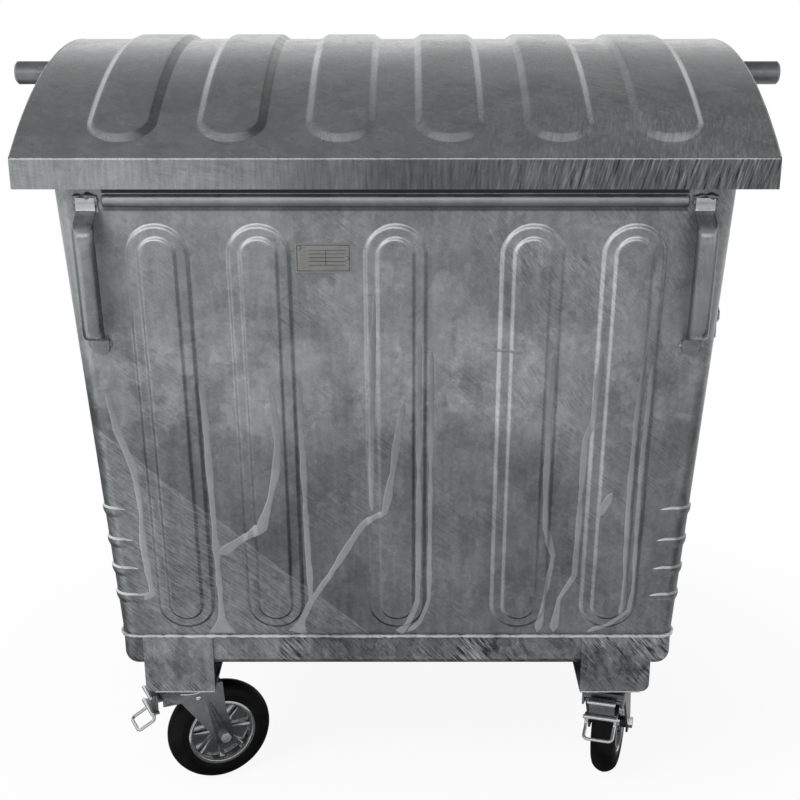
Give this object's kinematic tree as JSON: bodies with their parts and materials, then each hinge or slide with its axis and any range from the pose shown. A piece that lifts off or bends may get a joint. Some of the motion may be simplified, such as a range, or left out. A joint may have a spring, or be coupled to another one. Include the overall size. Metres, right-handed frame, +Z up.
{
  "type": "wheeled waste container",
  "caption": "Galvanised steel waste container on swivel casters, with ribbed tapering tub, lifting pins and a round lid that swings back over the rear.",
  "frame": {"origin": "on the floor under the middle of the tub", "axes": "+Z up, -Y to the front with the handles, +X along the lifting pins to the right as seen from the front"},
  "size_m": [1.37, 1.05, 1.342],
  "materials": {
    "tub_sheet": "hot-dip galvanised sheet, grey with spangle and runs",
    "pan_sheet": "hot-dip galvanised sheet, grey",
    "fittings": "hot-dip galvanised, matt",
    "type_plate": "satin, bare",
    "rivets": "bright",
    "pin_steel": "turned and galvanised",
    "bolts": "zinc plated",
    "lid_sheet": "hot-dip galvanised sheet, light grey",
    "bush": "plain, greased",
    "zinc_plate": "zinc plated, satin",
    "wheel_rim": "pressed and zinc plated",
    "tyre": "solid rubber, matt",
    "wire": "bright zinc plated wire"
  },
  "bodies": {
    "tub": {"front_wall": "tub_sheet", "rear_wall": "tub_sheet", "side_wall_left": "tub_sheet", "side_wall_right": "tub_sheet", "floor_pan": "pan_sheet", "rim_bar_front": "fittings", "rim_bar_rear": "fittings", "handle_front_left": "fittings", "handle_front_right": "fittings", "type_plate": "type_plate", "type_plate_rivets": "rivets", "trunnion_plate_left": "fittings", "trunnion_plate_right": "fittings", "trunnion_left": "pin_steel", "trunnion_right": "pin_steel", "lid_pivot_bracket_left": "fittings", "lid_pivot_bracket_right": "fittings", "lid_pivot_bolt_left": "bolts", "lid_pivot_bolt_right": "bolts", "caster_bracket_front_left": "fittings", "caster_bracket_front_right": "fittings", "caster_bracket_rear_left": "fittings", "caster_bracket_rear_right": "fittings", "caster_bolts": "bolts", "caster_plate_front_left": "zinc_plate", "caster_plate_front_right": "zinc_plate", "caster_plate_rear_left": "zinc_plate", "caster_plate_rear_right": "zinc_plate"},
    "lid": {"lid_shell": "lid_sheet", "lid_end_left": "lid_sheet", "lid_end_right": "lid_sheet", "lid_arm_left": "lid_sheet", "lid_arm_right": "lid_sheet", "lid_pivot_bush_left": "bush", "lid_pivot_bush_right": "bush"},
    "swivel_front_left": {"caster_fork_front_left": "zinc_plate", "wheel_axle_front_left": "bolts"},
    "wheel_front_left": {"wheel_bearing_front_left": "bush", "wheel_rim_front_left": "wheel_rim", "tyre_front_left": "tyre"},
    "brake_front_left": {"brake_pedal_front_left": "zinc_plate", "brake_bail_front_left": "wire"},
    "swivel_front_right": {"caster_fork_front_right": "zinc_plate", "wheel_axle_front_right": "bolts"},
    "wheel_front_right": {"wheel_bearing_front_right": "bush", "wheel_rim_front_right": "wheel_rim", "tyre_front_right": "tyre"},
    "brake_front_right": {"brake_pedal_front_right": "zinc_plate", "brake_bail_front_right": "wire"},
    "swivel_rear_left": {"caster_fork_rear_left": "zinc_plate", "wheel_axle_rear_left": "bolts"},
    "wheel_rear_left": {"wheel_bearing_rear_left": "bush", "wheel_rim_rear_left": "wheel_rim", "tyre_rear_left": "tyre"},
    "swivel_rear_right": {"caster_fork_rear_right": "zinc_plate", "wheel_axle_rear_right": "bolts"},
    "wheel_rear_right": {"wheel_bearing_rear_right": "bush", "wheel_rim_rear_right": "wheel_rim", "tyre_rear_right": "tyre"}
  },
  "joints": [
    {"name": "lid_swing", "type": "hinge", "parent": "tub", "child": "lid", "pos_m": [0, 0.05, 0.822], "axis": [-1, 0, 0], "range_deg": [0, 78]},
    {"name": "swivel_front_left", "type": "hinge", "parent": "tub", "child": "swivel_front_left", "pos_m": [-0.39, -0.305, 0.2], "axis": [0, 0, 1], "continuous": true},
    {"name": "wheel_front_left", "type": "hinge", "parent": "swivel_front_left", "child": "wheel_front_left", "pos_m": [-0.34015, -0.28176, 0.1], "axis": [-0.4226, 0.9063, 0], "continuous": true},
    {"name": "brake_front_left", "type": "hinge", "parent": "swivel_front_left", "child": "brake_front_left", "pos_m": [-0.43532, -0.32613, 0.196], "axis": [0.4226, -0.9063, 0], "range_deg": [0, 12]},
    {"name": "swivel_front_right", "type": "hinge", "parent": "tub", "child": "swivel_front_right", "pos_m": [0.39, -0.305, 0.2], "axis": [0, 0, 1], "continuous": true},
    {"name": "wheel_front_right", "type": "hinge", "parent": "swivel_front_right", "child": "wheel_front_right", "pos_m": [0.40516, -0.25213, 0.1], "axis": [-0.9613, 0.2756, 0], "continuous": true},
    {"name": "brake_front_right", "type": "hinge", "parent": "swivel_front_right", "child": "brake_front_right", "pos_m": [0.37622, -0.35306, 0.196], "axis": [0.9613, -0.2756, 0], "range_deg": [0, 12]},
    {"name": "swivel_rear_left", "type": "hinge", "parent": "tub", "child": "swivel_rear_left", "pos_m": [-0.39, 0.305, 0.2], "axis": [0, 0, 1], "continuous": true},
    {"name": "wheel_rear_left", "type": "hinge", "parent": "swivel_rear_left", "child": "wheel_rear_left", "pos_m": [-0.36676, 0.35485, 0.1], "axis": [-0.9063, 0.4226, 0], "continuous": true},
    {"name": "swivel_rear_right", "type": "hinge", "parent": "tub", "child": "swivel_rear_right", "pos_m": [0.39, 0.305, 0.2], "axis": [0, 0, 1], "continuous": true},
    {"name": "wheel_rear_right", "type": "hinge", "parent": "swivel_rear_right", "child": "wheel_rear_right", "pos_m": [0.37119, 0.35668, 0.1], "axis": [-0.9397, -0.342, 0], "continuous": true}
  ]
}
